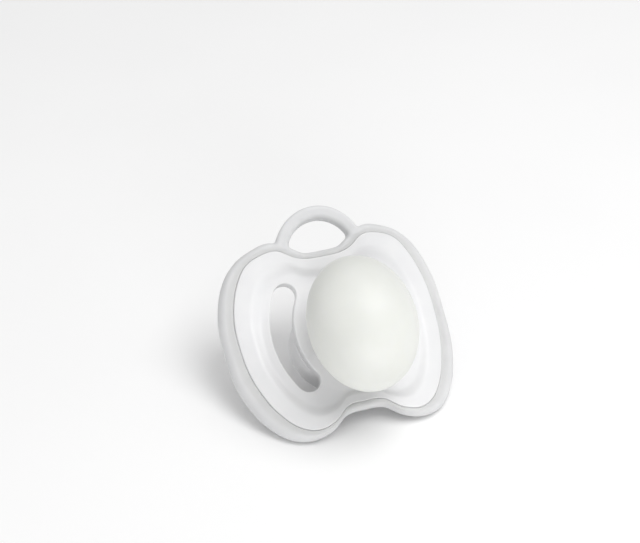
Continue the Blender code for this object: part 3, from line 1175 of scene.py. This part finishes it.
@dataclass(frozen=True)
class SoftRim:
    """The soft rim round the plate and the carry loop, one moulding."""

    form: ShieldForm
    loop: LoopSizes = field(default_factory=LoopSizes)
    step: float = 0.3 * MM
    thick: float = 3.4 * MM
    outer_round: float = 1.5 * MM
    fullness: float = 0.85
    seam: float = 0.02 * MM
    lip: float = 0.10 * MM
    groove_share: float = 0.32
    groove_top: float = 0.55 * MM
    groove_low: float = 1.65 * MM
    stations: int = 520
    voxel: float = 0.175 * MM
    fillet: float = 0.9 * MM
    groove_slack: float = 0.3 * MM
    side_steps: int = 21
    passes: int = 3
    behind: float = 0.3
    touching: float = 0.0001 * MM

    @property
    def turns(self) -> np.ndarray:
        """Turns at which the rim is laid out."""
        return full_turn(self.stations)

    def section(self) -> list[Triple]:
        """Give the rim's cross-section.

        Returns:
            Points (share of the band, inset in metres, height): a point lies at that share
            of the way from the seam to the outer edge, less the inset.
        """
        points = [(0.0, 0.0, -self.step - self.lip)]
        for down, inset in rounding(self.lip, (30.0, 60.0, 90.0)):
            points.append((0.0, -inset, -self.step - down))
        points.append((0.5, 0.5 * self.outer_round, -self.step))
        for angle in np.radians(np.linspace(90.0, -90.0, self.side_steps)):
            inset = self.outer_round * (1.0 - max(0.0, math.cos(angle)) ** self.fullness)
            height = -self.step - 0.5 * self.thick * (1.0 - math.sin(angle))
            points.append((1.0, inset, height))
        points.append((0.0, -self.lip, -self.step - self.thick))
        points.append((0.0, 0.0, -self.step - self.thick + self.lip))
        return points

    def ring(self, share: float, inset: float, height: float) -> np.ndarray:
        """Give one closed row of the rim.

        Args:
            share: share of the way from the seam to the outer edge.
            inset: how far inside that, in metres.
            height: height on the bent shield.

        Returns:
            The row's points (u, v, w).
        """
        start = self.form.plate_radius(self.turns) + self.seam
        reach = start + share * (self.form.rim_radius(self.turns) - start) - inset
        return self.row(reach, height)

    def row(self, reach: np.ndarray, height: float) -> np.ndarray:
        """Give the points (u, v, w) at a reach for each turn and a height."""
        flat = clockwise(reach, self.turns)
        return np.column_stack([flat, self.form.curve(*flat.T) + height])

    def rim_mesh(self) -> bpy.types.Mesh:
        """Build the rim alone, with the groove that holds the plate's tongue.

        Returns:
            The rim's mesh on the shield's axes.
        """
        skin = Skin()
        plate = self.form.plate_radius(self.turns)
        mouth = plate + self.seam
        band = self.form.rim_radius(self.turns) - plate
        deep = plate + self.groove_slack + self.groove_share * band
        low, top = -self.groove_low, -self.groove_top
        rows = [self.ring(*point) for point in self.section()]
        rows += [self.row(reach, low) for reach in (mouth, deep)]
        rows += [self.row(reach, top) for reach in (deep, mouth)]
        numbers = [skin.add(row) for row in rows]
        skin.strips([*numbers, numbers[0]])
        return skin.mesh("rim_only")

    def loop_mesh(self, material: bpy.types.Material) -> bpy.types.Mesh:
        """Build the loop alone with its tree.

        Args:
            material: the finish that the tree asks for.

        Returns:
            The loop's mesh on the shield's axes.
        """
        sizes = self.loop
        return LoopTree().grow(
            "loop_only",
            Half_Width=sizes.half_width,
            Rise=sizes.rise,
            Base=sizes.base,
            Band=sizes.band,
            Thickness=sizes.thick,
            Corner=sizes.corner,
            Foot_Angle=sizes.foot_angle,
            Depth=self.step + 0.5 * sizes.thick,
            Lift=self.form.end_lift / self.form.reach**2,
            Sweep=self.form.side_sweep / self.form.reach**2,
            Widening=sizes.widening,
            Steps=sizes.steps,
            Material=material,
        )

    def build(self, material: bpy.types.Material) -> bpy.types.Mesh:
        """Build the rim and the loop as one skin with rounded joints.

        Args:
            material: the finish, which the loop's tree asks for.

        Returns:
            The mesh on the shield's axes.
        """
        rim, loop = self.rim_mesh(), self.loop_mesh(material)
        joined = bmesh.new()
        joined.from_mesh(rim)
        joined.from_mesh(loop)
        both = bpy.data.meshes.new("soft_rim")
        joined.to_mesh(both)
        joined.free()
        holder = put_in_scene("rim_holder", both)
        remesh = holder.modifiers.new("skin", "REMESH")
        remesh.mode = "VOXEL"
        remesh.voxel_size = self.voxel
        mesh = keep_mesh(holder)
        self._melt(mesh, rim, loop)
        return mesh

    def _melt(self, mesh: bpy.types.Mesh, *solids: bpy.types.Mesh) -> None:
        """Settle a mesh's points on two solids that melt into each other where they meet.

        Args:
            mesh: the mesh to change, whose points are near the skin of both.
            solids: the two solids, their faces outwards.
        """
        trees = []
        for solid in solids:
            builder = bmesh.new()
            builder.from_mesh(solid)
            trees.append(BVHTree.FromBMesh(builder))
            builder.free()
        for _ in range(self.passes):
            for vertex in mesh.vertices:
                here = vertex.co.copy()
                near = []
                for tree in trees:
                    spot, normal, _, away = tree.find_nearest(here)
                    inside = (here - spot).dot(normal) < -self.behind * away
                    sign = -1.0 if inside and away < self.thick else 1.0
                    push = (here - spot) * (sign / away) if away > self.touching else normal
                    near.append((sign * away, push))
                (one, out_one), (two, out_two) = near
                share = min(1.0, max(0.0, 0.5 + 0.5 * (two - one) / self.fillet))
                away = two + (one - two) * share - self.fillet * share * (1.0 - share)
                out = out_one * share + out_two * (1.0 - share)
                if out.length > NOTHING:
                    vertex.co = here - out.normalized() * away
        mesh.update()


@dataclass(frozen=True)
class Teat:
    """The hollow teat: an oval bulb on a neck, with a flange behind the plate."""

    hub: HubSizes
    half_width: float = 10.75 * MM
    half_depth: float = 10.0 * MM
    taller: float = 1.265
    height: float = 13.4 * MM
    droop: float = 2.2 * MM
    fillet: float = 2.6 * MM
    soft_edge: float = 0.25 * MM
    foot_share: float = 0.25
    foot_drop: float = 0.8
    foot_pull: float = 1.28
    blend_share: float = 0.3
    bulb_steps: int = 64
    foot_steps: int = 11
    neck_steps: int = 7
    steps: int = 200

    def side(self, wall: float) -> list[Pair]:
        """Give the side of the bulb from its tip to the neck.

        Args:
            wall: how far inside the outer skin.

        Returns:
            Points (radius, height).
        """
        wide, deep = self.half_width - wall, self.half_depth - wall
        neck = self.hub.neck_radius - wall
        lowest = -math.acos((neck + self.foot_share * self.fillet) / wide)
        angles = np.linspace(0.5 * math.pi, lowest, self.bulb_steps)
        line = [(wide * math.cos(a), self.height + deep * math.sin(a)) for a in angles]
        line[0] = (0.0, line[0][1])
        foot = line[-1]
        end = (neck, foot[1] - self.foot_drop * self.fillet)
        slope = Vector((wide * math.sin(lowest), -deep * math.cos(lowest))).normalized()
        pull = self.foot_pull * (foot[1] - end[1])
        for t in np.linspace(0.0, 1.0, self.foot_steps)[1:]:
            a, b, c, d = hermite(t)
            radius = a * foot[0] + b * end[0] + c * pull * slope.x
            line.append((radius, a * foot[1] + b * end[1] + c * pull * slope.y - d * pull))
        return line

    def build(self, turned: TurnedTree, material: bpy.types.Material) -> bpy.types.Mesh:
        """Build the teat with the tree that turns profiles.

        Args:
            turned: the tree.
            material: the finish.

        Returns:
            The mesh on the shield's axes.
        """
        hub, soft = self.hub, self.soft_edge
        outer, inner = self.side(0.0), self.side(hub.teat_wall)
        neck, bore = hub.neck_radius, hub.neck_radius - hub.teat_wall
        rim = hub.flange_radius
        profile = list(outer)
        profile += [(neck, h) for h in np.linspace(outer[-1][1], hub.front, self.neck_steps)[1:]]
        profile += [(neck, hub.flange_top + soft), (neck + soft, hub.flange_top)]
        profile += [(rim - soft, hub.flange_top), (rim, hub.flange_top - soft)]
        profile += [(rim, hub.flange_low + soft), (rim - soft, hub.flange_low)]
        profile += [(bore + soft, hub.flange_low), (bore, hub.flange_low + soft)]
        profile += [(bore, h) for h in np.linspace(hub.front, inner[-1][1], self.neck_steps)[:-1]]
        profile += list(reversed(inner))
        low = max(hub.front, hub.plug_top + hub.plug_reach)
        high = self.height - self.blend_share * self.half_depth
        return turned.turn(
            "teat",
            profile,
            material,
            -hub.drop,
            self.steps,
            oval=(self.taller, self.droop, low, high),
        )


@dataclass(frozen=True)
class BackButton:
    """The round button that closes the back, a cup with a flat face and a witness ring."""

    hub: HubSizes
    face_round: float = 0.8 * MM
    inner_round: float = 0.5 * MM
    mouth: float = 0.2 * MM
    mouth_share: float = 0.3
    ring_radius: float = 7.6 * MM
    ring_depth: float = 0.12 * MM
    ring_width: float = 0.45 * MM
    middle_radii: Pair = (4.0 * MM, 1.2 * MM)
    face_steps: int = 10
    ring_steps: int = 9
    steps: int = 180

    def build(self, turned: TurnedTree, material: bpy.types.Material) -> bpy.types.Mesh:
        """Build the button with the tree that turns profiles.

        Args:
            turned: the tree.
            material: the finish.

        Returns:
            The mesh on the shield's axes.
        """
        hub = self.hub
        inner, outer = hub.button_radii
        deep = -hub.button_depth
        top = hub.back - hub.gap
        inside = min(hub.boss_low - hub.gap, deep + hub.button_back)
        mouth, cut = self.mouth, self.mouth_share * self.mouth
        profile: list[Pair] = [(0.0, inside), (inner - self.inner_round, inside)]
        for side, up in rounding(self.inner_round, (30.0, 60.0, 90.0)):
            profile.append((inner - side, inside + up))
        profile += [(inner, top - mouth), (inner + cut, top - cut), (inner + mouth, top)]
        profile += [(outer - mouth, top), (outer - cut, top - cut), (outer, top - mouth)]
        for up, side in rounding(self.face_round, np.linspace(0.0, 90.0, self.face_steps)):
            profile.append((outer - side, deep + up))
        for share in np.linspace(1.0, -1.0, self.ring_steps):
            dent = self.ring_depth * 0.5 * (1.0 + math.cos(math.pi * share))
            profile.append((self.ring_radius + 0.5 * self.ring_width * share, deep + dent))
        profile += [(radius, deep) for radius in (*self.middle_radii, 0.0)]
        return turned.turn("back_button", profile, material, -hub.drop, self.steps)


@dataclass(frozen=True)
class LockingPlug:
    """The plug inside the hub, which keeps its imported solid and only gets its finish."""

    node: str = "locking_plug"

    def dress(self, nodes: dict[str, bpy.types.Object]) -> bpy.types.Object:
        """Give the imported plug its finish.

        Args:
            nodes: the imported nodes.

        Returns:
            The plug.
        """
        plug = nodes[self.node]
        finish = PLUG_PLASTIC.make()
        if plug.material_slots:
            for entry in plug.material_slots:
                entry.material = finish
        else:
            plug.data.materials.append(finish)
        return plug


# --------------------------------------------------------------------------------------
# Putting it together
# --------------------------------------------------------------------------------------


@dataclass(frozen=True)
class Piece:
    """A finished piece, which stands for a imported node.

    Edges that turn by more than sharp, in degrees, are shaded as edges.
    """

    name: str
    node: str
    slot: str
    sharp: float = 40.0

    def finish(
        self, mesh: bpy.types.Mesh, material: bpy.types.Material, stand: Stand
    ) -> bpy.types.Object:
        """Place a mesh in the frame, attach it to the body and hide the imported node it stands
        for.

        Args:
            mesh: the mesh on the shield's axes.
            material: its finish.
            stand: how the shield sits in the frame.

        Returns:
            The object, at the origin with its place in its mesh.
        """
        mesh.transform(stand.matrix())
        mesh.materials.clear()
        mesh.materials.append(material)
        mesh.shade_smooth()
        mesh.set_sharp_from_angle(angle=math.radians(self.sharp))
        made = put_in_scene(self.name, mesh)
        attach(made, BODY)
        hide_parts(self.node)
        LOG.info("%s: %d faces for %s", self.name, len(mesh.polygons), self.node)
        return made


@dataclass(frozen=True)
class Lamp:
    """A soft square light."""

    name: str
    place: Triple
    aim: Triple
    size: float
    power: float

    def hang(self) -> None:
        """Hang the light in the scene."""
        data = bpy.data.lights.new(self.name, "AREA")
        data.shape = "SQUARE"
        data.size = self.size
        data.energy = self.power
        lamp = put_in_scene(self.name, data)
        lamp.location = self.place
        direction = Vector(self.aim) - Vector(self.place)
        lamp.rotation_euler = direction.to_track_quat("-Z", "Y").to_euler()


@dataclass(frozen=True)
class Studio:
    """The floor, the lights, the air round them and the camera."""

    heading: float = math.radians(-19.71)
    pitch: float = math.radians(35.80)
    roll: float = math.radians(0.24)
    distance: float = 407.2 * MM
    offset: Pair = (5.00 * MM, -23.52 * MM)
    lens: float = 112.5
    sensor: float = 36.0
    clip_start: float = 0.01
    air: float = 0.54
    floor: float = -0.04 * MM
    floor_half: float = 2.0
    lamps: tuple[Lamp, ...] = (
        Lamp("key", (0.17, -0.16, 0.61), (0.0, 0.0, 0.0), 0.44, 2.3),
        Lamp("fill", (-0.10, -0.66, 0.08), (0.0, 0.0, 0.01), 0.40, 1.7),
    )

    def build(self) -> None:
        """Build the whole setting."""
        self._floor()
        self._air()
        for lamp in self.lamps:
            lamp.hang()
        self._camera()
        bpy.context.scene.view_settings.view_transform = "Standard"

    def _floor(self) -> None:
        """Lay a wide pale floor."""
        mesh = bpy.data.meshes.new("floor")
        half = self.floor_half
        mesh.from_pydata(
            [(x * half, y * half, self.floor) for x, y in ((-1, -1), (1, -1), (1, 1), (-1, 1))],
            [],
            [(0, 1, 2, 3)],
        )
        paper = Finish(
            name="floor_paper",
            pale=(0.97, 0.97, 0.97),
            deep=(0.96, 0.96, 0.96),
            gloss=(0.75, 0.9),
            grain=Grain.SATIN,
            cloud=60.0 * MM,
        ).make()
        mesh.materials.append(paper)
        put_in_scene("floor", mesh)

    def _air(self) -> None:
        """Fill the room with even light."""
        world = bpy.data.worlds.new("room")
        world.use_nodes = True
        back = world.node_tree.nodes["Background"]
        back.inputs["Color"].default_value = (1.0, 1.0, 1.0, 1.0)
        back.inputs["Strength"].default_value = self.air
        bpy.context.scene.world = world

    def _camera(self) -> None:
        """Set up the camera."""
        level = Vector((-math.sin(self.heading), math.cos(self.heading), 0.0))
        right = Vector((math.cos(self.heading), math.sin(self.heading), 0.0))
        up = Vector((0.0, 0.0, 1.0))
        ahead = level * math.cos(self.pitch) - up * math.sin(self.pitch)
        above = level * math.sin(self.pitch) + up * math.cos(self.pitch)
        right, above = (
            right * math.cos(self.roll) + above * math.sin(self.roll),
            above * math.cos(self.roll) - right * math.sin(self.roll),
        )
        place = -self.offset[0] * right - self.offset[1] * above - self.distance * ahead
        data = bpy.data.cameras.new("camera")
        data.lens = self.lens
        data.sensor_width = self.sensor
        data.clip_start = self.clip_start
        camera = put_in_scene("camera", data)
        camera.matrix_world = Matrix.Translation(place) @ Matrix(
            (right, above, -ahead)
        ).transposed().to_4x4()
        bpy.context.scene.camera = camera


def main() -> None:
    """Build the pacifier's looks."""
    logging.basicConfig(level=logging.INFO, format="%(name)s: %(message)s")
    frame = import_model()
    Studio().build()
    hub = HubSizes()
    form = ShieldForm(hub=hub)
    stand = Stand.from_record(frame["record"], hub)
    turned = TurnedTree()

    white = WHITE_PLASTIC.make()
    plate = ShieldPlate(form).build()
    Piece("plate", "shield_plate", "shield_white").finish(plate, white, stand)
    grey = GREY_SILICONE.make()
    rim = SoftRim(form).build(grey)
    Piece("rim_and_loop", "soft_rim", "rim_silicone", sharp=80.0).finish(rim, grey, stand)
    ivory = IVORY_SILICONE.make()
    teat = Teat(hub).build(turned, ivory)
    Piece("bulb_teat", "teat", "teat_silicone", sharp=60.0).finish(teat, ivory, stand)
    snap = BUTTON_PLASTIC.make()
    button = BackButton(hub).build(turned, snap)
    Piece("snap_button", "back_button", "button_white").finish(button, snap, stand)
    plug = LockingPlug().dress(frame["nodes"])
    LOG.info("%s: dressed as packed", plug.name)


if __name__ == "__main__":
    main()
